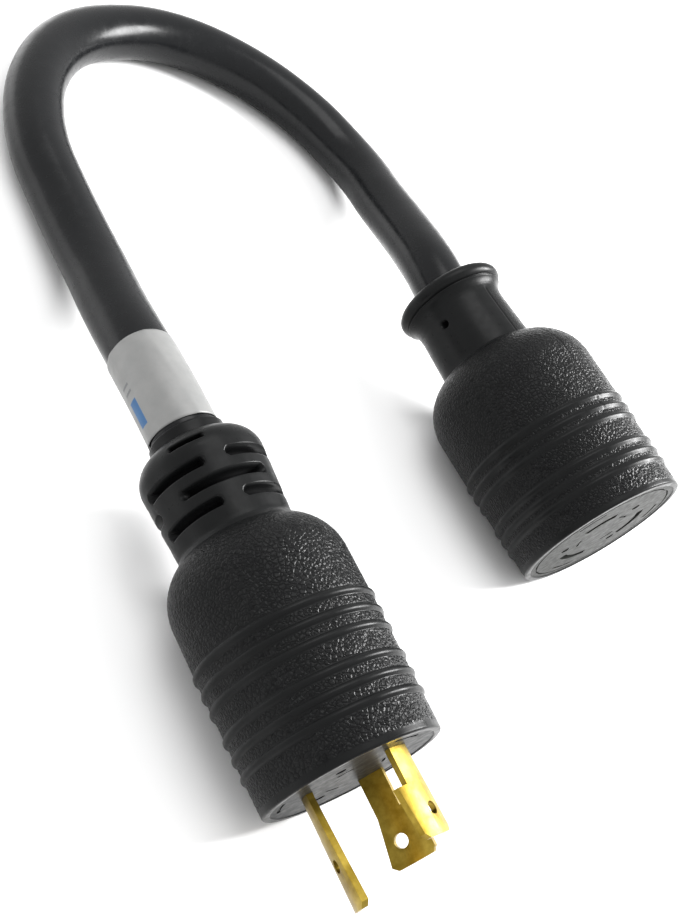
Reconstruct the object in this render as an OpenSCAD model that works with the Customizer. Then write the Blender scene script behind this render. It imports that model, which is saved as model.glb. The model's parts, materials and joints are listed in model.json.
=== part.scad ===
// Locking power adapter: moulded plug, short heavy cord, moulded connector.
// Millimetres. +Z is up, the blades point to -Y, and both bodies and the cord's loop lie on z = 0.
// Inside each body, s is the distance from its face along its axis, towards the cord.

/* [Plug] */
// Diameter of the plug body at its face
plug_d = 42; // [41:0.5:43]
// Length from the plug face to the end of its strain relief
plug_len = 86.5; // [86.5:0.5:88]
// Length of the line blade outside the face
line_len = 19; // [18:0.5:20]
// Length of the neutral blade outside the face
neutral_len = 20.5; // [19.5:0.5:21.5]
// Length of the ground blade outside the face
ground_len = 24.5; // [23:0.5:25]
// Thickness of the blades
blade_t = 1.4; // [1.2:0.1:1.6]
// Radius of the circle that the blades stand on, at mid thickness
blade_r = 12.6; // [12.2:0.1:13]

/* [Connector] */
// Diameter of the connector body at its face
conn_d = 49.5; // [48.5:0.5:50]
// Length from the connector face to the end of its flange
conn_len = 85.5; // [85.5:0.5:87]
// Turn of the connector about the vertical, from parallel with the plug
conn_turn = 2.5; // [2:0.5:3]
// Width of the slots in the connector face
slot_w = 2.2; // [2:0.1:2.4]

/* [Cord] */
// Outer diameter of the cord
cord_d = 17; // [16.5:0.1:17]
// Wall thickness of the cord's jacket
jacket_t = 2.6; // [2.4:0.1:2.6]
// Diameter of each insulated wire
wire_d = 5.2; // [4.8:0.1:5.2]
// Diameter of each wire's copper strands
copper_d = 3; // [2.8:0.1:3]
// Length of the wrap-around label, in half knots of the cord's route
label_steps = 4; // [3:1:5]

/* [Rings] */
// Radius of a raised ring's section
ring_r = 1; // [0.8:0.1:1.1]
// How far a ring stands out of the body
ring_h = 0.6; // [0.4:0.1:0.8]

/* [Hidden] */
$fn = 64;
eps = 0.01;

// Where the two bodies lie
plug_r = plug_d / 2;
conn_r = conn_d / 2;
// The barrel swells a little behind the face, and the rings stand out of it: the body lies on them
swell = 0.4;
plug_pos = [-59, -49, plug_r + swell + ring_h];
conn_pos = [55.9, -12.2, conn_r + swell + ring_h];

// Angles about a body's axis, seen from in front of its face: 0 is +X, 90 is up
LINE = 0;
NEUTRAL = 1;
GROUND = 2;
plug_angles = [78, 330, 202];
conn_angles = [262, 10, 138];
// Even spacing of the three wires where the cord enters the plug and the connector
plug_lay = [80, 320, 200];
conn_lay = [260, 20, 140];
// The ground blade stands on a smaller circle than the other two
ground_inset = 1.4;

// Outline of the plug, along s
plug_shoulder_s = 45;
plug_dome_r = 14;
relief_s = 57;
relief_r = 13.6;
relief_top_r = 15.3;
relief_top_s = 76.8;
relief_round = 6.5;
collar_r = 9.4;
plug_rings = [9, 13.3, 17.6, 24.2, 28.4, 32.6];
// Rows of slots in the strain relief: distance from the face, slots in the row, angle of the first,
// angle that each spans, and width
relief_rows = [
    [63.2, 4, 68, 69, 2.2], [68.3, 3, 112, 88, 2.2], [73.4, 4, 68, 69, 2.2], [79.2, 2, 131, 34, 1.2],
];
relief_floor_r = 10.6;

// Outline of the connector, along s
conn_shoulder_s = 46;
conn_dome_r = 15;
neck_s = 60;
neck_r = 14.4;
neck_end_r = 13.7;
// How the neck flares out below the bead at the cord's entry: height, and distance from the end
neck_flare = [[0, 10], [0.3, 7.1], [1.15, 5.4], [1.7, 4.8], [1.9, 4.2]];
flange_r = 16.6;
bead_r = 2.2;
conn_rings = [8, 11.4, 14.8, 22.8, 26.3, 29.8];
pin_hole_d = 2.5;
pin_holes = [[165, 73], [240, 70.5]];

// Inside of both bodies
rim_t = 1.7;
face_t = 4;
face_recess = 0.2;
core_gap = 0.05;
core_wall = 4;
core_s = 40;
fan_s = 58;
bore_r = cord_d / 2 + 0.02;
// The bore widens a little where the cord leaves it
mouth = 0.3;
mouth_len = 9;
wire_ring_r = wire_d / 2 / sin(60) + 0.03;
// Room around the wires where they fan out to the crimps
fan_slack = 0.9;
barrel_r = 2.4;
barrel_len = 12;
shank_s = 14;
crimp_foot = 1;
chamber_s = 29;
web_s = chamber_s - 2;

// Blades: half widths on the flared side at the tip and the root, and then on the hook side at the
// root, at the hook and at the tip
blade_widths = [[5.6, 4.2, 2, 4.5, 3.7], [5.5, 3.8, 2.1, 5.5, 5.5], [4.2, 2.7, 1.9, 4.2, 4.2]];
// Holes in the blades: distance outside the face, offset towards the flared side, and diameter
blade_holes = [[13.7, 2, 2.8], [15.2, 1.3, 3.2], [15, 0.8, 2.8]];
// Where each blade's hook and flare start outside the face, and the cut corners of the tip
hook_s = [7.7, 8.5, 8.5];
flare_s = [1, 9, 1];
tip_cut = 1.1;
// Angles that the connector's slots span, wider than the blade tips that pass through them
slot_spans = [57, 59, 50];

// Hand-laid route of the cord's centre between the two bodies
route = [
    [-58.9, 51, 21.6], [-57.9, 64, 19.5], [-55, 82.5, 14.8], [-52.5, 97, 11.6], [-51, 112, 9.6],
    [-50, 127.5, 8.7], [-49, 143, 8.6], [-45, 158, 8.6], [-38, 172, 8.6], [-28, 184, 8.6],
    [-15.5, 192.5, 8.6], [-1, 197, 8.6], [14, 198, 8.6], [29, 194.5, 8.6], [43, 187, 8.6],
    [54, 177, 8.6], [62.5, 164, 8.7], [67, 149.5, 9.3], [67.5, 135.5, 11.4], [64.5, 122, 14.4],
    [61, 108.5, 18.2], [57, 95.5, 22.2], [54, 85, 24.8],
];

// ---------------------------------------------------------------- helpers

// Places a body's parts: local z is s, local x is +X and local y is down
module at_plug() translate(plug_pos) rotate([-90, 0, 0]) children();
module at_conn() translate(conn_pos) rotate([0, 0, conn_turn]) rotate([-90, 0, 0]) children();

// Turns to an angle seen from in front of the face
module face_turn(a) rotate([0, 0, -a]) children();

module disc(r, s0, s1) translate([0, 0, s0]) cylinder(r = r, h = s1 - s0);

// Sector of a ring, centred on local x
module arc_bar(r0, r1, span, s0, s1) {
    translate([0, 0, s0])
        rotate([0, 0, -span / 2])
            rotate_extrude(angle = span)
                translate([r0, 0]) square([r1 - r0, s1 - s0]);
}

// Barrel with a dome behind it, from radius r0 at the face to r1 at the shoulder
module barrel_outline(r0, r1, shoulder, dome) {
    polygon([[0, 0], [r0, 0], [r1, shoulder * 0.75], [r1, shoulder], [0, shoulder]]);
    translate([0, shoulder - eps]) square([r1 - dome, dome + eps]);
    intersection() {
        translate([r1 - dome, shoulder]) circle(r = dome);
        translate([0, shoulder - eps]) square([r1 + 1, dome + 1]);
    }
}

// Rings along a barrel that swells from r0 to r1 over the length l
module ring_outlines(rows, r0, r1, l) {
    for (s = rows)
        translate([r0 + (r1 - r0) * min(1, s / l) + ring_h - ring_r, s]) circle(r = ring_r, $fn = 32);
}

// The hollow that a body is moulded around: face insert, core, fanned-out wires and the cord
module inner_hollow(r, len) {
    core_r = r - core_wall;
    rotate_extrude() polygon([
        [0, -1], [r - rim_t, -1], [r - rim_t, face_t], [core_r, face_t], [core_r, core_s],
        for (s = [core_s:3:fan_s]) [spread(LINE, s) + wire_d / 2 + fan_slack, s],
        [bore_r, fan_s], [bore_r, len - mouth_len],
        [bore_r + mouth, len], [bore_r + mouth, len + 1], [0, len + 1],
    ]);
}

// Smooth step from 0 to 1
function smooth(t) = t <= 0 ? 0 : t >= 1 ? 1 : t * t * (3 - 2 * t);

function unit(v) = v / norm(v);

// Points on the two axes
function plug_at(s) = plug_pos + [0, s, 0];
function conn_at(s) = conn_pos + s * [-sin(conn_turn), cos(conn_turn), 0];

// Catmull-Rom point between p[i] and p[i + 1]
function spline(p, i, t) =
    let (a = p[max(i - 1, 0)], b = p[i], c = p[i + 1], d = p[min(i + 2, len(p) - 1)])
    0.5 * (2 * b + (c - a) * t + (2 * a - 5 * b + 4 * c - d) * t * t + (3 * b - a - 3 * c + d) * t * t * t);

// Centre of the cord from inside the plug's strain relief to inside the connector's neck
knots = concat(
    [plug_at(fan_s + 2), plug_at(plug_len - 13), plug_at(plug_len + 0.5)],
    route,
    [conn_at(conn_len + 1), conn_at(conn_len - 8), conn_at(fan_s + 2)]
);
cord_path = concat(
    [for (i = [0:len(knots) - 2], t = [0, 0.5]) spline(knots, i, t)],
    [knots[len(knots) - 1]]
);
// The label starts just behind the strain relief
label_first = 4;

// Direction of a path at its point i
function along(p, i) = unit(p[min(i + 1, len(p) - 1)] - p[max(i - 1, 0)]);

// Point of the section at path point i: radius r at an angle, 0 is sideways and 90 is up
function around(p, i, r, a) =
    let (t = along(p, i), side = unit(cross(t, [0, 0, 1])), up = cross(side, t))
    p[i] + r * cos(a) * side + r * sin(a) * up;

// Tube along a path; hollow when r_in is above 0
module tube(p, r_out, r_in, sides) {
    n = len(p);
    outer = [for (i = [0:n - 1], k = [0:sides - 1]) around(p, i, r_out, 360 * k / sides)];
    inner = r_in > 0 ? [for (i = [0:n - 1], k = [0:sides - 1]) around(p, i, r_in, 360 * k / sides)] : [];
    m = n * sides;
    last = m - sides;
    wall = [for (i = [0:n - 2], k = [0:sides - 1])
        let (a = i * sides + k, b = i * sides + (k + 1) % sides)
        each [[a, b, a + sides], [b, b + sides, a + sides]]];
    wall_in = [for (f = wall) [f[2] + m, f[1] + m, f[0] + m]];
    rim = [for (k = [0:sides - 1])
        let (b = (k + 1) % sides) each [[k, k + m, b], [b, k + m, b + m]]];
    rim_end = [for (f = rim) [f[2] + last, f[1] + last, f[0] + last]];
    cap = [[for (k = [sides - 1:-1:0]) k], [for (k = [0:sides - 1]) last + k]];
    if (r_in > 0)
        polyhedron(points = concat(outer, inner), faces = concat(wall, wall_in, rim, rim_end));
    else
        polyhedron(points = outer, faces = concat(wall, cap));
}

// Radius at which a blade, its slot and its crimped wire stand
function seat_r(k) = k == GROUND ? blade_r - ground_inset : blade_r;

// How far the wires have come together at a distance s from a face: 0 at the crimps, 1 in the cord
function gathered(s) = smooth((s - core_s) / (fan_s - core_s));
function spread(k, s) = seat_r(k) + (wire_ring_r - seat_r(k)) * gathered(s);
function plug_fan_angle(k, s) = plug_angles[k] + (plug_lay[k] - plug_angles[k]) * gathered(s);
function conn_fan_angle(k, s) = conn_angles[k] + (conn_lay[k] - conn_angles[k]) * gathered(s);

// How far along the cord its wires have twisted at path point i, from 0 to 1
function lay_at(i) = smooth((i - 1) / (len(cord_path) - 3));

// Twist of the wires over the whole cord, which brings each from its blade to its contact
twist = -180 - conn_lay[LINE] - plug_lay[LINE];

// Path of one wire's centre, from s0 behind the plug face to s1 behind the connector face
function wire_path(k, s0, s1) =
    let (
        fan = [for (s = [core_s:3:fan_s]) s],
        back = concat([for (j = [len(fan) - 1:-1:0]) fan[j]], [s1]),
        head = [for (s = concat([s0], fan)) [plug_at(s), spread(k, s), plug_fan_angle(k, s)]],
        middle = [for (i = [1:len(cord_path) - 2])
            [cord_path[i], wire_ring_r, plug_lay[k] + twist * lay_at(i)]],
        tail = [for (s = back) [conn_at(s), spread(k, s), -180 - conn_fan_angle(k, s)]],
        all = concat(head, middle, tail),
        centre = [for (q = all) q[0]]
    )
    [for (i = [0:len(all) - 1]) around(centre, i, all[i][1], all[i][2])];

// ---------------------------------------------------------------- plug

module relief_slots() {
    for (row = relief_rows, k = [1:row[1]])
        face_turn(row[2] + 360 * k / row[1])
            arc_bar(relief_floor_r, relief_top_r + 2, row[3], row[0] - row[4] / 2, row[0] + row[4] / 2);
}

module plug_body() {
    color("#2e3032") at_plug() difference() {
        union() {
            rotate_extrude() barrel_outline(plug_r, plug_r + swell, plug_shoulder_s, plug_dome_r);
            rotate_extrude() difference() {
                ring_outlines(plug_rings, plug_r, plug_r + swell, plug_shoulder_s * 0.75);
                square([plug_r - 1, plug_len]);
            }
            // Barrel-shaped strain relief with a round shoulder and a collar
            rotate_extrude() {
                polygon([
                    [0, relief_s - 4], [relief_r, relief_s - 4], [relief_top_r, relief_top_s],
                    [0, relief_top_s],
                ]);
                intersection() {
                    translate([relief_top_r - relief_round, relief_top_s]) circle(r = relief_round);
                    translate([0, relief_top_s - eps]) square([relief_top_r + 1, relief_round + 1]);
                }
                translate([0, relief_top_s - eps]) square([relief_top_r - relief_round, relief_round + eps]);
                square([collar_r, plug_len]);
            }
        }
        inner_hollow(plug_r, plug_len);
        relief_slots();
    }
}

// Shallow moulded marks of the face: a bar beside each blade and dots between them
module face_marks(angles, r) {
    bar_t = 0.8;
    floor_s = 0.45;
    dot_d = 2.4;
    for (a = angles) {
        face_turn(a) arc_bar(r * 0.87, r * 0.87 + bar_t, 26, -1, floor_s);
        face_turn(a + 60) translate([r * 0.6, 0, -1]) cylinder(d = dot_d, h = 1 + floor_s);
        face_turn(a + 60) arc_bar(r * 0.36, r * 0.36 + bar_t, 30, -1, floor_s);
    }
}

module plug_face() {
    color("#55585a") at_plug() difference() {
        disc(plug_r - rim_t, face_recess, face_t);
        for (k = [LINE, NEUTRAL, GROUND])
            face_turn(plug_angles[k]) blade_root(k, 0.12, -1, face_t + 1);
        face_marks(plug_angles, plug_r - rim_t);
    }
}

// Inner moulding that carries the blades, with a bore for each crimped wire
module plug_core() {
    color("#3d4043") at_plug() difference() {
        disc(plug_r - core_wall - core_gap, face_t, core_s);
        for (k = [LINE, NEUTRAL, GROUND]) face_turn(plug_angles[k]) {
            blade_root(k, 0.12, face_t - 1, shank_s + 0.5);
            translate([seat_r(k), 0, shank_s - crimp_foot - 0.1]) cylinder(r = wire_d / 2 + 0.15, h = core_s);
        }
    }
}

// Stretch of a blade's root, with a clearance around it
module blade_root(k, gap, s0, s1) {
    w = blade_widths[k];
    intersection() {
        arc_bar(seat_r(k) - blade_t / 2 - gap, seat_r(k) + blade_t / 2 + gap, 90, s0, s1);
        translate([0, -w[2] - gap, s0]) cube([20, w[1] + w[2] + 2 * gap, s1 - s0]);
    }
}

// Outline of a blade seen along its radius: x is out of the face, y is positive on the flared side
module blade_outline(k, len) {
    w = blade_widths[k];
    polygon([
        [-shank_s, w[1]], [flare_s[k], w[1]], [len - tip_cut, w[0]], [len, w[0] - tip_cut],
        [len, tip_cut - w[4]], [len - tip_cut, -w[4]], [hook_s[k], -w[3]], [hook_s[k], -w[2]],
        [-shank_s, -w[2]],
    ]);
}

module blade(k, len) {
    hole = blade_holes[k];
    color("#c2a544") at_plug() face_turn(plug_angles[k]) {
        difference() {
            intersection() {
                arc_bar(seat_r(k) - blade_t / 2, seat_r(k) + blade_t / 2, 90, -len - 1, shank_s + 1);
                translate([5, 0, 0]) rotate([0, 90, 0]) linear_extrude(height = 12) blade_outline(k, len);
            }
            translate([5, hole[1], -hole[0]]) rotate([0, 90, 0]) cylinder(d = hole[2], h = 12);
        }
        crimp(k, shank_s, crimp_foot);
    }
}

// Crimp barrel around the end of a wire's strands, with a foot that reaches back into the strip
module crimp(k, s, foot) {
    translate([seat_r(k), 0, s]) difference() {
        translate([0, 0, -foot]) cylinder(r = barrel_r, h = barrel_len + foot);
        translate([0, 0, 1]) cylinder(r = copper_d / 2 + 0.03, h = barrel_len);
    }
}

// ---------------------------------------------------------------- connector

module connector_body() {
    color("#2e3032") at_conn() difference() {
        union() {
            rotate_extrude() barrel_outline(conn_r, conn_r + swell, conn_shoulder_s, conn_dome_r);
            rotate_extrude() difference() {
                ring_outlines(conn_rings, conn_r, conn_r + swell, conn_shoulder_s * 0.75);
                square([conn_r - 1, conn_len]);
            }
            // Tapered neck, and a bead around the cord's entry
            rotate_extrude() {
                polygon([
                    [0, neck_s - 6], [neck_r, neck_s - 6],
                    for (q = neck_flare) [neck_end_r + q[0], conn_len - q[1]],
                    [0, conn_len - bead_r],
                ]);
                translate([0, conn_len - bead_r]) square([flange_r - bead_r, bead_r]);
                translate([flange_r - bead_r, conn_len - bead_r]) circle(r = bead_r);
            }
        }
        inner_hollow(conn_r, conn_len);
        for (h = pin_holes)
            face_turn(h[0]) translate([neck_end_r - 2.5, 0, h[1]])
                rotate([0, 90, 0]) cylinder(d = pin_hole_d, h = 6);
    }
}

module face_slot(k, s0, s1) {
    arc_bar(seat_r(k) - slot_w / 2, seat_r(k) + slot_w / 2, slot_spans[k], s0, s1);
}

module connector_face() {
    groove_r = conn_r - rim_t - 2.2;
    color("#7d807e") at_conn() difference() {
        disc(conn_r - rim_t, face_recess, face_t);
        for (k = [LINE, NEUTRAL, GROUND]) face_turn(conn_angles[k]) face_slot(k, -1, face_t + 1);
        // Fine groove inside the rim
        rotate_extrude() translate([groove_r, -1]) square([0.5, 1.6]);
        face_marks([for (a = conn_angles) a + 8], groove_r);
    }
}

// Inner moulding with a chamber for each contact, where a blade turns to lock, and a bore for its wire
module connector_core() {
    color("#3d4043") at_conn() difference() {
        disc(conn_r - core_wall - core_gap, face_t, core_s);
        for (k = [LINE, NEUTRAL, GROUND]) face_turn(conn_angles[k]) {
            arc_bar(seat_r(k) - 3.6, seat_r(k) + 3.2, 78, face_t - 1, chamber_s);
            translate([seat_r(k), 0, chamber_s - 1]) cylinder(r = wire_d / 2 + 0.15, h = core_s);
        }
    }
}

// Spring contact: two leaves that grip a blade, a web behind them and a crimp barrel
module contact(k) {
    leaf_t = 0.8;
    gap = blade_t / 2 + 0.1;
    span = slot_spans[k] - 5;
    color("#b08d45") at_conn() face_turn(conn_angles[k]) {
        difference() {
            arc_bar(seat_r(k) - gap - leaf_t, seat_r(k) + gap + leaf_t, span, face_t + 1.5, web_s);
            arc_bar(seat_r(k) - gap, seat_r(k) + gap, span + 10, face_t + 1, web_s - leaf_t);
        }
        crimp(k, web_s, leaf_t / 2);
    }
}

// ---------------------------------------------------------------- cord

module cord_jacket() color("#26282a") tube(cord_path, cord_d / 2, cord_d / 2 - jacket_t, 12);

// Three filler strands in the valleys between the wires
module cord_filler() {
    filler_r = 1.1;
    ring = cord_d / 2 - jacket_t - filler_r - 0.35;
    color("#b8ab8c") for (k = [LINE, NEUTRAL, GROUND])
        let (a = plug_lay[k] + 60)
            tube(
                [for (i = [1:len(cord_path) - 2]) around(cord_path, i, ring, a + twist * lay_at(i))],
                filler_r, 0, 6
            );
}

module cord_label() {
    path = [for (i = [label_first:label_first + label_steps]) cord_path[i]];
    color("#d9dbd8") tube(path, cord_d / 2 + 0.3, cord_d / 2 + 0.03, 12);
}

// Insulation between the two crimps, and the strands that run on into them
module wire(k, colour) {
    path = wire_path(k, shank_s + barrel_len + 0.5, web_s + barrel_len + 0.5);
    color(colour) tube(path, wire_d / 2, copper_d / 2 + 0.02, 8);
}

module copper(k) color("#b5683a") tube(wire_path(k, shank_s + 2, web_s + 2), copper_d / 2, 0, 8);

plug_body();
plug_face();
plug_core();
blade(LINE, line_len);  // blade_line
blade(NEUTRAL, neutral_len);  // blade_neutral
blade(GROUND, ground_len);  // blade_ground
connector_body();
connector_face();
connector_core();
contact(LINE);  // contact_line
contact(NEUTRAL);  // contact_neutral
contact(GROUND);  // contact_ground
cord_jacket();
cord_filler();
cord_label();
wire(LINE, "#222222");  // wire_line
wire(NEUTRAL, "#e8e8e4");  // wire_neutral
wire(GROUND, "#2f7d46");  // wire_ground
copper(LINE);  // copper_line
copper(NEUTRAL);  // copper_neutral
copper(GROUND);  // copper_ground
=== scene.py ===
import json
import math

import bpy
import numpy as np
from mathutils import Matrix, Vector


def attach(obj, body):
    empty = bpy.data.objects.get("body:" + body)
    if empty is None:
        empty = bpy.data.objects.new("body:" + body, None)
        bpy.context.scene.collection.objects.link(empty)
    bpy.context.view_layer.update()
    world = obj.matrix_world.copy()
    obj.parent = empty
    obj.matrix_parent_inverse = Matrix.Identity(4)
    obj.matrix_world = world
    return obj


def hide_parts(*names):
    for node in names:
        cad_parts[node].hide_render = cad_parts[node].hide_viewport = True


# A locking plug and a larger locking connector, moulded onto the two ends of a short heavy cord.
# Metres. Inside each body, s is the distance from its face along its axis, towards the cord, and an
# angle is seen from in front of the face: 0 is sideways and a quarter turn is up.

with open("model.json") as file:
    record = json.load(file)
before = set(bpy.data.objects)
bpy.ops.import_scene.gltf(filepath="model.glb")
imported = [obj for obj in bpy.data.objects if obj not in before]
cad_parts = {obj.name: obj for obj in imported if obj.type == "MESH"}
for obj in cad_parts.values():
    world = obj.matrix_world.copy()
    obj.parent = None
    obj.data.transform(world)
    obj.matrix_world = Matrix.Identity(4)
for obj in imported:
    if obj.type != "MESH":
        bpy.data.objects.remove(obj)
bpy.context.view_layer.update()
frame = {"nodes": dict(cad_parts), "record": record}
MM = 0.001
UP = Vector((0, 0, 1))


def add_object(name, data):
    made = bpy.data.objects.new(name, data)
    bpy.context.scene.collection.objects.link(made)
    return made


# ---------------------------------------------------------------- camera

CAMERA_AT = Vector((-0.2283, -0.0862, 0.2308))
CAMERA_AIM = Vector((-0.0151, 0.0275, 0.0200))
CAMERA_ROLL = math.radians(42.07)
LENS_MM = 49.5


def make_camera():
    data = bpy.data.cameras.new("camera")
    data.lens = LENS_MM
    data.sensor_width = 36
    data.clip_start = 0.01
    camera = add_object("camera", data)
    turn = (CAMERA_AIM - CAMERA_AT).to_track_quat("-Z", "Y").to_matrix().to_4x4()
    camera.matrix_world = turn
    camera.rotation_euler.rotate_axis("Z", CAMERA_ROLL)
    camera.location = CAMERA_AT
    bpy.context.scene.camera = camera


make_camera()


# ---------------------------------------------------------------- places

class Body:
    """Where a moulded body lies: the middle of its face and the directions of its axis and its side."""

    def __init__(self, face, axis):
        self.face = Vector(face)
        self.axis = Vector(axis).normalized()
        self.side = self.axis.cross(UP).normalized()

    def at(self, s):
        return self.face + self.axis * s

    def points(self, s, radius, angle):
        """Points of the body, for arrays of s, radius and angle of the same shape."""
        along = np.multiply.outer(s, np.array(self.axis))
        across = np.multiply.outer(radius * np.cos(angle), np.array(self.side))
        above = np.multiply.outer(radius * np.sin(angle), np.array(UP))
        return np.array(self.face) + along + across + above


mounts = {m["name"]: m for m in frame["record"]["mounts"]}
# How far the connector's insert, where its slots open, sits behind its rim
FACE_RECESS = 0.2 * MM
plug = Body(mounts["blade_set"]["pos_m"], -Vector(mounts["blade_set"]["axis"]))
connector = Body(mounts["slot_set"]["pos_m"], -Vector(mounts["slot_set"]["axis"]))
connector.face = connector.at(-FACE_RECESS)


# ---------------------------------------------------------------- mesh helpers

def add_mesh(name, points, faces, material, masks=None):
    """A smooth-shaded object from arrays of points and four-cornered faces."""
    mesh = bpy.data.meshes.new(name)
    mesh.from_pydata(points.reshape(-1, 3).tolist(), [], faces.reshape(-1, 4).tolist())
    mesh.polygons.foreach_set("use_smooth", [True] * len(mesh.polygons))
    for mask, values in (masks or {}).items():
        layer = mesh.attributes.new(mask, "FLOAT", "POINT")
        layer.data.foreach_set("value", values.astype(np.float32).ravel())
    mesh.materials.append(material)
    mesh.update()
    return add_object(name, mesh)


def grid_faces(rows, columns, closed_rows):
    """Faces of a grid that closes on itself across its columns, and across its rows if asked to."""
    last = rows if closed_rows else rows - 1
    row, column = np.meshgrid(np.arange(last), np.arange(columns), indexing="ij")
    below = (row + 1) % rows
    right = (column + 1) % columns
    corners = [
        row * columns + column, below * columns + column,
        below * columns + right, row * columns + right,
    ]
    return np.stack(corners, axis=-1)


def smooth(x):
    """Smooth step from 0 to 1."""
    x = np.clip(x, 0, 1)
    return x * x * (3 - 2 * x)


def arc(centre_r, centre_s, radius, start, end, count):
    """Outline points (radius, s) round a centre; 0 degrees points outwards and 90 towards the cord."""
    turn = np.radians(np.linspace(start, end, count))
    return list(zip(centre_r + radius * np.cos(turn), centre_s + radius * np.sin(turn)))


def refine(outline, spacing):
    """Adds points to an outline so that none is further from the next than spacing(s)."""
    fine = []
    for (r0, s0), (r1, s1) in zip(outline, outline[1:]):
        parts = max(1, math.ceil(math.hypot(r1 - r0, s1 - s0) / spacing((s0 + s1) / 2)))
        for part in range(parts):
            t = part / parts
            fine.append((r0 + (r1 - r0) * t, s0 + (s1 - s0) * t))
    fine.append(outline[-1])
    return fine


GRAIN_SIZE = 1.0 * MM
GRAIN_HEIGHT = 0.22 * MM
GRAIN_SLOPE = 0.4
JITTER = np.random.default_rng(7).random((32, 32, 32, 3))


def cell_gap(points, size):
    """Leather cells: about 0 in the creases between cells of that size, and larger inside a cell."""
    scaled = points.reshape(-1, 3) / size
    base = np.floor(scaled).astype(int)
    nearest = np.full(len(scaled), 9.0)
    second = nearest.copy()
    for step in np.ndindex(3, 3, 3):
        cell = base + np.array(step) - 1
        wrapped = cell % len(JITTER)
        centre = cell + JITTER[wrapped[:, 0], wrapped[:, 1], wrapped[:, 2]]
        distance = np.linalg.norm(centre - scaled, axis=1)
        second = np.minimum(second, np.maximum(nearest, distance))
        nearest = np.minimum(nearest, distance)
    return (second - nearest).reshape(points.shape[:-1])


def lathe(name, body, outline, outer, columns, relief, material):
    """Closed shell turned from an outline of (radius, s), whose first `outer` points are outside.
    relief(s, radius, angle) gives the surface detail's height, and its grain and recess from 0 to 1; the
    recess mask marks where the material paints shade."""
    radius, s = np.array(outline).T
    angle = np.linspace(0, 2 * math.pi, columns, endpoint=False)
    s_grid, angle_grid = np.meshgrid(s, angle, indexing="ij")
    radius_grid = np.repeat(radius[:, None], columns, axis=1)
    height, grain, recess = relief(s_grid, radius_grid, angle_grid)
    for detail in (height, grain, recess):
        detail[outer:] = 0
    bare = body.points(s_grid, radius_grid, angle_grid)
    pebbles = np.minimum(cell_gap(bare, GRAIN_SIZE), GRAIN_SLOPE) - GRAIN_SLOPE / 2
    height += GRAIN_HEIGHT * grain * pebbles
    points = body.points(s_grid, radius_grid + height, angle_grid)
    faces = grid_faces(len(outline), columns, True)
    return add_mesh(name, points, faces, material, {"grain": grain, "recess": recess})


# ---------------------------------------------------------------- materials

class Paint:
    """A procedural material that is built up from nodes on one Principled shader."""

    def __init__(self, name, **sockets):
        self.material = bpy.data.materials.new(name)
        self.material.use_nodes = True
        self.tree = self.material.node_tree
        self.shader = self.tree.nodes["Principled BSDF"]
        for socket, value in sockets.items():
            self.shader.inputs[socket.replace("_", " ")].default_value = value
        self.place = self.node("ShaderNodeTexCoord").outputs["Object"]

    def node(self, kind, inputs=None, **settings):
        made = self.tree.nodes.new(kind)
        for setting, value in settings.items():
            setattr(made, setting, value)
        for socket, value in (inputs or {}).items():
            if isinstance(value, bpy.types.NodeSocket):
                self.tree.links.new(value, made.inputs[socket])
            else:
                made.inputs[socket].default_value = value
        return made

    def stretched(self, scale):
        """The place, scaled by a different amount in each direction."""
        inputs = {"Vector": self.place, "Scale": scale}
        return self.node("ShaderNodeMapping", inputs).outputs["Vector"]

    def noise(self, size, detail=3.0, roughness=0.55, place=None):
        """Noise whose lumps are about size metres wide."""
        inputs = {
            "Vector": place or self.place, "Scale": 1 / size, "Detail": detail, "Roughness": roughness,
        }
        return self.node("ShaderNodeTexNoise", inputs).outputs["Fac"]

    def math(self, operation, a, b):
        return self.node("ShaderNodeMath", {0: a, 1: b}, operation=operation).outputs[0]

    def remap(self, value, low, high, to_low=0.0, to_high=1.0):
        inputs = {"Value": value, "From Min": low, "From Max": high, "To Min": to_low, "To Max": to_high}
        return self.node("ShaderNodeMapRange", inputs).outputs[0]

    def blend(self, factor, first, second):
        """A colour between two others, as the factor goes from 0 to 1."""
        made = self.node("ShaderNodeMix", {"Factor": factor}, data_type="RGBA")
        for socket, value in ((made.inputs[6], first), (made.inputs[7], second)):
            if isinstance(value, bpy.types.NodeSocket):
                self.tree.links.new(value, socket)
            else:
                socket.default_value = (*value, 1)
        return made.outputs[2]

    def bump(self, height, distance, strength=1.0, under=None):
        inputs = {"Height": height, "Distance": distance, "Strength": strength}
        if under:
            inputs["Normal"] = under
        return self.node("ShaderNodeBump", inputs).outputs["Normal"]

    def to(self, socket, value):
        self.tree.links.new(value, self.shader.inputs[socket])


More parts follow.
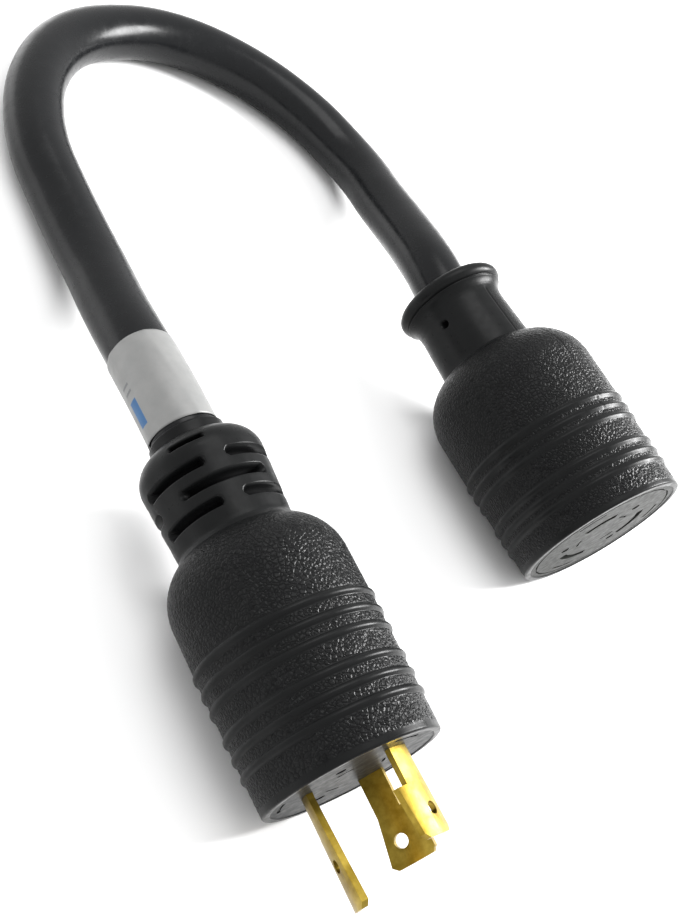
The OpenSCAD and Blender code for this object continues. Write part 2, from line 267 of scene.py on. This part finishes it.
def overmould():
    """Black rubbery plastic. The grain mask says where the mould was textured like leather, and the
    recess mask where a slot, hole or seam gets painted shade. The creases between grain cells get
    painted shade too. The cells of the grain are bent by a fine noise."""
    bend_scale = 900
    bend_reach = 0.0007
    p = Paint("overmould", Specular_IOR_Level=0.10)
    mask = p.node("ShaderNodeAttribute", attribute_name="grain").outputs["Fac"]
    shift = p.node("ShaderNodeTexNoise", {"Vector": p.place, "Scale": bend_scale, "Detail": 2})
    bent = p.node(
        "ShaderNodeVectorMath", {0: shift.outputs["Color"], 1: (bend_reach,) * 3}, operation="MULTIPLY"
    )
    bent = p.node("ShaderNodeVectorMath", {0: p.place, 1: bent.outputs[0]}, operation="ADD").outputs[0]
    cells = p.node(
        "ShaderNodeTexVoronoi", {"Vector": bent, "Scale": 1 / GRAIN_SIZE}, feature="DISTANCE_TO_EDGE"
    ).outputs["Distance"]
    pebbles = p.math("MULTIPLY", p.remap(cells, 0.0, 0.28), mask)
    fine = p.noise(0.35 * MM, 2.0)
    p.to("Normal", p.bump(fine, 0.012 * MM, 0.6, p.bump(pebbles, 0.13 * MM, 1.0)))
    mottle = p.noise(7 * MM, 4.0)
    dark = p.blend(mottle, (0.0054, 0.0057, 0.0060), (0.0092, 0.0096, 0.0096))
    # Painted shade: the grain's creases, and the slots, holes and seams of the recess mask, are coloured
    # near black
    crease_shade = p.math("MULTIPLY", p.remap(cells, 0.10, 0.0), mask)
    recess = p.node("ShaderNodeAttribute", attribute_name="recess").outputs["Fac"]
    painted_shade = p.math("MAXIMUM", crease_shade, recess)
    p.to("Base Color", p.blend(painted_shade, dark, (0.0015, 0.0015, 0.0018)))
    wear = p.remap(p.noise(2.2 * MM, 5.0), 0.35, 0.65, 0.27, 0.39)
    p.to("Roughness", p.math("MAXIMUM", wear, p.math("MULTIPLY", recess, 0.95)))
    return p.material


def jacket():
    """Semi-gloss black cord jacket with a faint unevenness and handling marks."""
    p = Paint("jacket", Specular_IOR_Level=0.17)
    cloud = p.noise(9 * MM, 4.0)
    p.to("Base Color", p.blend(cloud, (0.0052, 0.0056, 0.0062), (0.0088, 0.0093, 0.0100)))
    rub = p.remap(p.noise(3 * MM, 6.0, 0.6), 0.35, 0.7, 0.20, 0.32)
    p.to("Roughness", rub)
    flow = p.bump(p.noise(6 * MM, 2.0), 0.12 * MM, 0.5)
    p.to("Normal", p.bump(p.noise(0.5 * MM, 3.0), 0.012 * MM, 0.5, flow))
    return p.material


def moulded(name, dark, light, roughness, shine=0.5):
    """Smooth hard plastic of an insert, with faint flow lines, fine pores and rubbed patches."""
    p = Paint(name, Specular_IOR_Level=shine)
    flow = p.noise(4 * MM, 5.0, 0.6, p.stretched((1.0, 0.35, 1.6)))
    p.to("Base Color", p.blend(flow, dark, light))
    p.to("Roughness", p.remap(p.noise(1.6 * MM, 5.0), 0.3, 0.7, roughness - 0.07, roughness + 0.09))
    p.to("Normal", p.bump(p.noise(0.3 * MM, 3.0), 0.008 * MM, 0.6, p.bump(flow, 0.05 * MM, 0.5)))
    return p.material


def brass(name, dark, light, roughness):
    """Rolled brass strip, with fine lengthwise brushing and tarnish in clouds."""
    p = Paint(name, Metallic=1.0)
    tarnish = p.noise(5 * MM, 5.0, 0.65)
    brushed = p.noise(0.25 * MM, 4.0, 0.6, p.stretched((1.0, 0.06, 1.0)))
    p.to("Base Color", p.blend(p.remap(tarnish, 0.3, 0.7), dark, light))
    clouded = p.remap(tarnish, 0.3, 0.7, roughness + 0.08, roughness)
    p.to("Roughness", p.math("ADD", clouded, p.remap(brushed, 0.3, 0.7, 0.0, 0.08)))
    p.to("Normal", p.bump(brushed, 0.02 * MM, 0.5, p.bump(tarnish, 0.05 * MM, 0.4)))
    return p.material


def label_paper(name, colour, faded):
    """Slightly worn vinyl film."""
    p = Paint(name, Specular_IOR_Level=0.4)
    p.to("Base Color", p.blend(p.remap(p.noise(4 * MM, 5.0), 0.35, 0.75), colour, faded))
    p.to("Roughness", p.remap(p.noise(2 * MM, 4.0), 0.3, 0.7, 0.38, 0.5))
    p.to("Normal", p.bump(p.noise(3 * MM, 3.0), 0.10 * MM, 0.5))
    return p.material


def strands():
    """Twisted bare copper strands."""
    p = Paint("copper", Metallic=1.0)
    fine = p.noise(0.3 * MM, 3.0)
    p.to("Base Color", p.blend(fine, (0.55, 0.22, 0.10), (0.80, 0.42, 0.24)))
    p.to("Roughness", p.remap(fine, 0.3, 0.7, 0.25, 0.4))
    p.to("Normal", p.bump(fine, 0.05 * MM, 0.6))
    return p.material


def fibre():
    """Soft filler strands of the cord."""
    p = Paint("filler")
    fuzz = p.noise(0.4 * MM, 4.0)
    p.to("Base Color", p.blend(fuzz, (0.40, 0.33, 0.22), (0.62, 0.54, 0.40)))
    p.to("Roughness", p.remap(fuzz, 0.3, 0.7, 0.75, 0.95))
    p.to("Normal", p.bump(fuzz, 0.1 * MM, 0.8))
    return p.material


OVERMOULD = overmould()
JACKET = jacket()


# ---------------------------------------------------------------- cord

CORD_DIAMETER = 17 * MM
PLUG_LENGTH = 86.5 * MM
CONNECTOR_LENGTH = 85.5 * MM

# The route's points between the two bodies, as in the CAD
ROUTE_MM = [
    (-58.9, 51, 21.6), (-57.9, 64, 19.5), (-55, 82.5, 14.8), (-52.5, 97, 11.6), (-51, 112, 9.6),
    (-50, 127.5, 8.7), (-49, 143, 8.6), (-45, 158, 8.6), (-38, 172, 8.6), (-28, 184, 8.6),
    (-15.5, 192.5, 8.6), (-1, 197, 8.6), (14, 198, 8.6), (29, 194.5, 8.6), (43, 187, 8.6),
    (54, 177, 8.6), (62.5, 164, 8.7), (67, 149.5, 9.3), (67.5, 135.5, 11.4), (64.5, 122, 14.4),
    (61, 108.5, 18.2), (57, 95.5, 22.2), (54, 85, 24.8),
]
# The route starts and ends inside the bodies
LEAD_IN = 13 * MM
LEAD_OUT = 8 * MM
knots = [plug.at(PLUG_LENGTH - LEAD_IN), plug.at(PLUG_LENGTH + 0.5 * MM)]
knots += [Vector(p) * MM for p in ROUTE_MM]
knots += [connector.at(CONNECTOR_LENGTH + 1 * MM), connector.at(CONNECTOR_LENGTH - LEAD_OUT)]


def spline(points, per_span):
    """Catmull-Rom curve through the points."""
    p = np.array([points[0], *points, points[-1]], float)
    t = np.linspace(0, 1, per_span, endpoint=False)[:, None]
    curve = []
    for a, b, c, d in zip(p, p[1:], p[2:], p[3:]):
        bend = (2 * a - 5 * b + 4 * c - d) * t**2 + (3 * b - a - 3 * c + d) * t**3
        curve.append(0.5 * (2 * b + (c - a) * t + bend))
    return np.vstack([*curve, p[-1:]])


def tube_frame(path):
    """Distance along a path, and the sideways and upward directions at each of its points."""
    step = np.linalg.norm(np.diff(path, axis=0), axis=1)
    distance = np.concatenate([[0], np.cumsum(step)])
    along = np.gradient(path, axis=0)
    along /= np.linalg.norm(along, axis=1)[:, None]
    side = np.cross(along, np.array(UP))
    side /= np.linalg.norm(side, axis=1)[:, None]
    return distance, side, np.cross(side, along)


def tube_points(path, side, above, radius, angle):
    """Points round a path; radius and angle are arrays of (path point, column)."""
    across = (radius * np.cos(angle))[..., None] * side[:, None, :]
    return path[:, None, :] + across + (radius * np.sin(angle))[..., None] * above[:, None, :]


def make_cord():
    """Jacket tube that shows a trace of the three twisted wires inside it."""
    columns = 72
    twist_length = 0.17
    wire_show = 0.05 * MM
    end_round = 6
    path = spline(knots, 12)
    distance, side, above = tube_frame(path)
    angle = np.linspace(0, 2 * math.pi, columns, endpoint=False)[None, :]
    angle = np.repeat(angle, len(path), axis=0)
    wires = np.cos(3 * (angle - 2 * math.pi * distance[:, None] / twist_length))
    radius = CORD_DIAMETER / 2 - wire_show + wire_show * wires
    closing = np.minimum(np.arange(len(path)), np.arange(len(path))[::-1])[:, None] / end_round
    radius = radius * np.where(closing < 1, np.sqrt(np.clip(1 - (1 - closing) ** 2, 0, 1)), 1)
    points = tube_points(path, side, above, np.maximum(radius, 0.01 * MM), angle)
    piece = add_mesh("cord", points, grid_faces(len(path), columns, False), JACKET)
    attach(piece, "root")
    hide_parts("cord_jacket")
    return piece, path


cord, cord_path = make_cord()


# ---------------------------------------------------------------- label

LABEL_START = 0.6 * MM
LABEL_LENGTH = 25.0 * MM
LABEL_ROWS = 40
LABEL_COLUMNS = 100
# The print, in rows of the film's faces and degrees round the cord
BAR_ROWS = range(6, 17)
RULE_ROWS = (20, 23)
PRINT_START = 172
BAR_END = 192
RULE_END = 190


def make_label():
    """White film wrapped once round the cord, whose end overlaps its start a little askew."""
    rows, columns = LABEL_ROWS, LABEL_COLUMNS
    wrap_start = math.radians(205)
    overlap = math.radians(28)
    film = 0.14 * MM
    skew = 0.9 * MM
    wrinkle_height = 0.16 * MM
    lapping = 0.80
    distance, side, above = tube_frame(cord_path)
    start = LEAD_IN + LABEL_START
    across = np.linspace(0, 1, columns)
    turn = wrap_start + across * (2 * math.pi + overlap)
    s = start + np.linspace(0, LABEL_LENGTH, rows)[:, None] + skew * across[None, :]
    centre = np.stack([np.interp(s, distance, cord_path[:, i]) for i in range(3)], axis=-1)
    sideways = np.stack([np.interp(s, distance, side[:, i]) for i in range(3)], axis=-1)
    upward = np.stack([np.interp(s, distance, above[:, i]) for i in range(3)], axis=-1)
    lift = film * (0.3 + 1.6 * smooth((across - lapping) / (1 - lapping)))[None, :]
    ridges = np.maximum(np.sin(turn * 5 - 60 * (s - start)), 0) ** 6
    wrinkle = wrinkle_height * ridges * np.abs(np.sin(s * 210 + turn))
    inner = CORD_DIAMETER / 2 + lift + wrinkle

    def surface(radius):
        around = np.cos(turn)[None, :, None] * sideways + np.sin(turn)[None, :, None] * upward
        return centre + radius[..., None] * around

    # The outline of the film, once over its outside and back over its inside, closed at both edges
    points = np.concatenate([surface(inner + film), surface(inner)[::-1]], axis=0)
    row, column = np.meshgrid(np.arange(2 * rows), np.arange(columns - 1), indexing="ij")
    below = (row + 1) % (2 * rows)
    corners = [
        row * columns + column, below * columns + column,
        below * columns + column + 1, row * columns + column + 1,
    ]
    faces = np.stack(corners, axis=-1)
    edges = []
    for end in (0, columns - 1):
        k = np.arange(rows - 1)
        back = 2 * rows - 1 - k
        edge = [
            k * columns + end, (k + 1) * columns + end,
            (back - 1) * columns + end, back * columns + end,
        ]
        edge = edge if end else edge[::-1]
        edges.append(np.stack(edge, axis=-1))
    every = np.concatenate([faces.reshape(-1, 4), *edges])
    white = label_paper("label_film", (0.215, 0.216, 0.212), (0.190, 0.192, 0.190))
    piece = add_mesh("label", points, every, white)
    piece.data.materials.append(label_paper("label_blue", (0.012, 0.085, 0.22), (0.020, 0.11, 0.26)))
    piece.data.materials.append(label_paper("label_grey", (0.10, 0.105, 0.11), (0.14, 0.145, 0.15)))
    paint_label(piece, turn)
    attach(piece, "root")
    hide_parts("cord_label")
    return piece


def paint_label(piece, turn):
    """A plain blue bar and two short grey rules, which stand for the print."""
    facing = np.degrees(turn) % 360
    for index, face in enumerate(piece.data.polygons):
        row, column = divmod(index, LABEL_COLUMNS - 1)
        if row in BAR_ROWS and PRINT_START < facing[column] < BAR_END:
            face.material_index = 1
        elif row in RULE_ROWS and PRINT_START < facing[column] < RULE_END:
            face.material_index = 2


label = make_label()


# ---------------------------------------------------------------- plug and connector shells

RING_R = 1.0 * MM
RING_HEIGHT = 0.6 * MM
RING_REACH = 1.35 * MM
# Spacing of the mesh along the axis: over rings, over small details, and inside
RING_SPACING = 0.17 * MM
DETAIL_SPACING = 0.3 * MM
INNER_SPACING = 4 * MM
SWELL = 0.4 * MM
RIM = 1.7 * MM
EDGE_R = 0.5 * MM
GRAIN_START = 1.4 * MM
FACE_DEPTH = 4 * MM
CORE_WALL = 4 * MM
CORE_DEPTH = 40 * MM
FAN_START = 46 * MM
FAN_END = 58 * MM
FAN_NARROWING = 0.72
BORE_R = CORD_DIAMETER / 2 + 0.02 * MM
BORE_CLOSED = 9 * MM
MOUTH = 0.3 * MM
PLUG_RINGS = [k * MM for k in (9, 13.3, 17.6, 24.2, 28.4, 32.6)]
CONNECTOR_RINGS = [k * MM for k in (8, 11.4, 14.8, 22.8, 26.3, 29.8)]
# Rows of slots in the strain relief, in mm and degrees: distance from the face, slots in the row,
# angle of the first, angle that each spans, and width
RELIEF_ROWS = [
    (63.2, 4, 68, 69, 2.2),
    (68.3, 3, 112, 88, 2.2),
    (73.4, 4, 68, 69, 2.2),
    (79.2, 2, 131, 34, 1.2),
]
RELIEF_FLOOR = 10.6 * MM


def ring_height(s, rings):
    """Rounded rings that stand out of the barrel."""
    height = np.zeros_like(s)
    for ring in rings:
        bow = np.sqrt(np.clip(RING_R**2 - (s - ring) ** 2, 0, None)) - (RING_R - RING_HEIGHT)
        height = np.maximum(height, bow)
    return height


def grain_mask(s, rings, start, end, fade):
    """Grain lies between the rings and over the dome, and fades out towards the neck."""
    mask = smooth((s - start) / (0.8 * MM)) * (1 - smooth((s - end + fade) / fade))
    for ring in rings:
        mask = mask * smooth((np.abs(s - ring) - 0.95 * MM) / (0.45 * MM))
    return mask


def near(s, places, reach):
    return any(abs(s - k) < reach for k in places)


def inner_outline(r, length):
    """The shell's inside, from the cord's bore back to the face."""
    core = r - CORE_WALL
    return [
        (BORE_R, length - BORE_CLOSED), (BORE_R, FAN_END), (core * FAN_NARROWING, FAN_START),
        (core, CORE_DEPTH), (core, FACE_DEPTH), (r - RIM, FACE_DEPTH), (r - RIM, EDGE_R),
    ]


def barrel_outline(r, shoulder, dome, dome_turn, dome_points):
    """The outside from the rim of the face, along the swollen barrel, and over the dome."""
    swollen = r + SWELL
    outline = [(r - RIM, 0.05 * MM), (r - EDGE_R, 0)]
    outline += arc(r - EDGE_R, EDGE_R, EDGE_R, -70, 0, 5)
    outline += [(swollen, shoulder * 0.75), (swollen, shoulder - 0.1 * MM)]
    return outline + arc(swollen - dome, shoulder, dome, 0, dome_turn, dome_points)


def wrapped(angle, centre):
    """Difference between two angles, from minus a half turn to a half turn."""
    return (angle - centre + math.pi) % (2 * math.pi) - math.pi


def relief_slots(s, radius, angle):
    """Depth of the strain relief's staggered slots, which have round ends."""
    cut = np.zeros_like(s)
    for row, count, first, span, width in RELIEF_ROWS:
        half_width = width / 2 * MM
        half_span = math.radians(span / 2)
        for k in range(count):
            centre = math.radians(first + 360 * k / count)
            round_way = np.abs(wrapped(angle, centre)) * radius
            beyond = np.maximum(round_way - (half_span * radius - half_width), 0)
            edge = np.hypot(beyond, s - row * MM) - half_width
            cut = np.maximum(cut, smooth((0.15 * MM - edge) / (0.4 * MM)))
    return cut * np.maximum(radius - RELIEF_FLOOR, 0), cut


def parting_line(s, angle, radius, centre, start, end):
    """Fine groove where the two halves of the mould met."""
    across = np.abs(wrapped(angle, centre)) * radius
    groove = 1 - smooth(across / (0.5 * MM))
    return groove * smooth((s - start) / MM) * (1 - smooth((s - end) / MM))


def make_plug_shell():
    r = 21 * MM
    dome_end = 57 * MM
    relief_start = 62 * MM
    relief_top = 76.8 * MM
    top_r = 15.3 * MM
    bend = 6.5 * MM
    collar = 9.4 * MM
    ease = 0.25 * MM
    seam_turn = math.radians(5)
    seam_depth = 0.12 * MM
    outer = barrel_outline(r, 45 * MM, 14 * MM, 56, 24)
    outer += [(14.15 * MM, 58.1 * MM), (14.1 * MM, 59 * MM)]
    outer += arc(top_r - bend, relief_top, bend, 0, 84, 16)
    outer += [(collar + ease, relief_top + bend), (collar, relief_top + bend + ease)]
    outer += [(collar, PLUG_LENGTH - 0.3 * MM), (collar - ease, PLUG_LENGTH), (BORE_R + MOUTH, PLUG_LENGTH)]

    def spacing(s):
        if near(s, PLUG_RINGS, RING_REACH):
            return RING_SPACING
        return DETAIL_SPACING if s > relief_start else 0.46 * MM

    outer = refine(outer, spacing)
    inner = refine(inner_outline(r, PLUG_LENGTH), lambda s: INNER_SPACING)

    def relief(s, radius, angle):
        grain = grain_mask(s, PLUG_RINGS, GRAIN_START, dome_end, 4 * MM)
        depth, slots = relief_slots(s, radius, angle)
        seam = parting_line(s, angle, radius, seam_turn, 1 * MM, dome_end)
        height = ring_height(s, PLUG_RINGS) - depth - seam_depth * seam
        # The slots' mask goes out as the recess mask, which paints shade inside the slots
        return height, grain * (1 - seam), slots

    piece = lathe("plug_shell", plug, outer + inner, len(outer), 320, relief, OVERMOULD)
    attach(piece, "root")
    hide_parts("plug_body")


def make_connector_shell():
    r = 24.75 * MM
    neck = 14.4 * MM
    neck_end = 13.7 * MM
    # Outline of the flare below the bead, in mm: height over the neck, and distance from the end
    flare = [
        (0, 10), (0.1, 8.2), (0.3, 7.1), (0.65, 6.2),
        (1.15, 5.4), (1.7, 4.85), (1.95, 4.6), (1.3, 4.25),
    ]
    flange = 16.6 * MM
    bead = 2.2 * MM
    # Pin holes in the neck: angle and distance from the face
    holes = [(math.radians(165), 73 * MM), (math.radians(240), 70.5 * MM)]
    hole_r = 1.35 * MM
    hole_depth = 2.6 * MM
    # The parting line steps sideways in the upper rings, and round the foot of the neck
    seam_start = 25 * MM
    seam_end = 77 * MM
    seam_depth = 0.16 * MM
    ring_turn = math.radians(96)
    neck_turn = math.radians(93)
    step_s = 29.5 * MM
    foot_s = 60.6 * MM
    # A speckled strip of the neck lies beside the parting line
    strip_span = math.radians(75)
    strip_end = 76 * MM
    strip_grain = 0.3
    outer = barrel_outline(r, 46 * MM, 15 * MM, 72, 26)
    outer += [(neck + 0.12 * MM, 60.5 * MM), (neck, 61.6 * MM)]
    outer += [(neck_end + up * MM, CONNECTOR_LENGTH - back * MM) for up, back in flare]
    outer += arc(flange - bead, CONNECTOR_LENGTH - bead, bead, -62, 88, 20)
    outer += [(BORE_R + MOUTH, CONNECTOR_LENGTH)]

    def spacing(s):
        if near(s, CONNECTOR_RINGS, RING_REACH):
            return RING_SPACING
        return DETAIL_SPACING if near(s, [hole[1] for hole in holes], 2.5 * MM) else 0.48 * MM

    outer = refine(outer, spacing)
    inner = refine(inner_outline(r, CONNECTOR_LENGTH), lambda s: INNER_SPACING)

    def relief(s, radius, angle):
        pits = np.zeros_like(s)
        for turn, row in holes:
            away = np.hypot(wrapped(angle, turn) * radius, s - row)
            pits = np.maximum(pits, smooth((hole_r - away) / (0.35 * MM)))
        seam_turn = np.where(s < step_s, ring_turn, neck_turn)
        beside = wrapped(angle, neck_turn)
        strip = (beside < 0) & (beside > -strip_span)
        seam = strip * (1 - smooth(np.abs(s - foot_s) / (0.4 * MM)))
        for half in (0, math.pi):
            line = parting_line(s, angle, radius, seam_turn + half, seam_start, seam_end)
            seam = np.maximum(seam, line)
        speckle = strip_grain * strip * smooth((s - foot_s) / MM) * (1 - smooth((s - strip_end) / MM))
        grain = grain_mask(s, CONNECTOR_RINGS, GRAIN_START, 60.5 * MM, 3 * MM)
        height = ring_height(s, CONNECTOR_RINGS) - hole_depth * pits - seam_depth * seam
        # The recess mask paints shade into the pin holes, and at 0.6 strength along the parting line's
        # grooves and the line at the foot of the neck
        return height, np.maximum(grain, speckle) * (1 - seam), np.maximum(pits, 0.6 * seam)

    piece = lathe("connector_shell", connector, outer + inner, len(outer), 352, relief, OVERMOULD)
    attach(piece, "root")
    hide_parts("connector_body")


make_plug_shell()
make_connector_shell()


# ---------------------------------------------------------------- CAD parts that stay

EDGE_BEVEL = 0.22 * MM


def soften_edges(node):
    """Small bevels on a CAD part's corners, which catch the light as a stamped edge does."""
    piece = frame["nodes"][node]
    weld = piece.modifiers.new("weld", "WELD")
    weld.merge_threshold = 0.002 * MM
    bevel = piece.modifiers.new("bevel", "BEVEL")
    bevel.width = EDGE_BEVEL
    bevel.segments = 2
    bevel.limit_method = "ANGLE"
    bevel.angle_limit = math.radians(35)
    even = piece.modifiers.new("even", "WEIGHTED_NORMAL")
    even.keep_sharp = True


def finish_node(node, material):
    piece = frame["nodes"][node]
    piece.data.materials.clear()
    piece.data.materials.append(material)


BRASS = brass("blade_brass", (0.140, 0.088, 0.007), (0.31, 0.225, 0.040), 0.29)
CONTACT = brass("contact_brass", (0.45, 0.30, 0.12), (0.72, 0.52, 0.25), 0.30)
PLUG_INSERT = moulded("plug_insert", (0.014, 0.015, 0.016), (0.030, 0.031, 0.031), 0.36, 0.03)
CONNECTOR_INSERT = moulded("connector_insert", (0.016, 0.017, 0.016), (0.030, 0.031, 0.028), 0.36, 0.025)
finish_node("plug_face", PLUG_INSERT)
finish_node("connector_face", CONNECTOR_INSERT)
CORE = moulded("core", (0.020, 0.021, 0.022), (0.034, 0.035, 0.036), 0.5)
for part in ("plug_core", "connector_core"):
    finish_node(part, CORE)
for pole in ("line", "neutral", "ground"):
    finish_node("blade_" + pole, BRASS)
    soften_edges("blade_" + pole)
    finish_node("contact_" + pole, CONTACT)
COPPER = strands()
INSULATION = {
    "line": ((0.010, 0.010, 0.011), (0.020, 0.020, 0.021)),
    "neutral": ((0.60, 0.60, 0.57), (0.74, 0.74, 0.70)),
    "ground": ((0.02, 0.16, 0.06), (0.04, 0.24, 0.10)),
}
for pole, (dark, light) in INSULATION.items():
    finish_node("wire_" + pole, moulded("insulation_" + pole, dark, light, 0.4))
    finish_node("copper_" + pole, COPPER)
finish_node("cord_filler", fibre())

inside_cord = ["cord_filler"]
inside_cord += [part + pole for part in ("wire_", "copper_") for pole in INSULATION]


# ---------------------------------------------------------------- floor and light

def make_floor():
    mesh = bpy.data.meshes.new("floor")
    half = 3.0
    corners = [(-half, -half, 0), (half, -half, 0), (half, half, 0), (-half, half, 0)]
    mesh.from_pydata(corners, [], [(0, 1, 2, 3)])
    p = Paint("floor", Roughness=0.9, Specular_IOR_Level=0.1)
    p.shader.inputs["Base Color"].default_value = (0.93, 0.93, 0.93, 1)
    mesh.materials.append(p.material)
    add_object("floor", mesh)


def make_softbox(name, place, aim, size, power):
    data = bpy.data.lights.new(name, "AREA")
    data.shape = "RECTANGLE"
    data.size, data.size_y = size
    data.energy = power
    lamp = add_object(name, data)
    lamp.location = place
    lamp.rotation_euler = (Vector(aim) - Vector(place)).to_track_quat("-Z", "Y").to_euler()


def make_world():
    world = bpy.data.worlds.new("studio")
    world.use_nodes = True
    background = world.node_tree.nodes["Background"]
    background.inputs["Color"].default_value = (1, 1, 1, 1)
    background.inputs["Strength"].default_value = 1.0
    bpy.context.scene.world = world


make_floor()
make_world()
make_softbox("key", (0.60, -0.08, 0.44), (0, 0.03, 0.02), (0.24, 0.36), 14.0)
make_softbox("top", (-0.10, 0.35, 0.75), (0, 0.05, 0.02), (0.50, 0.50), 3.0)
bpy.context.scene.view_settings.view_transform = "Standard"
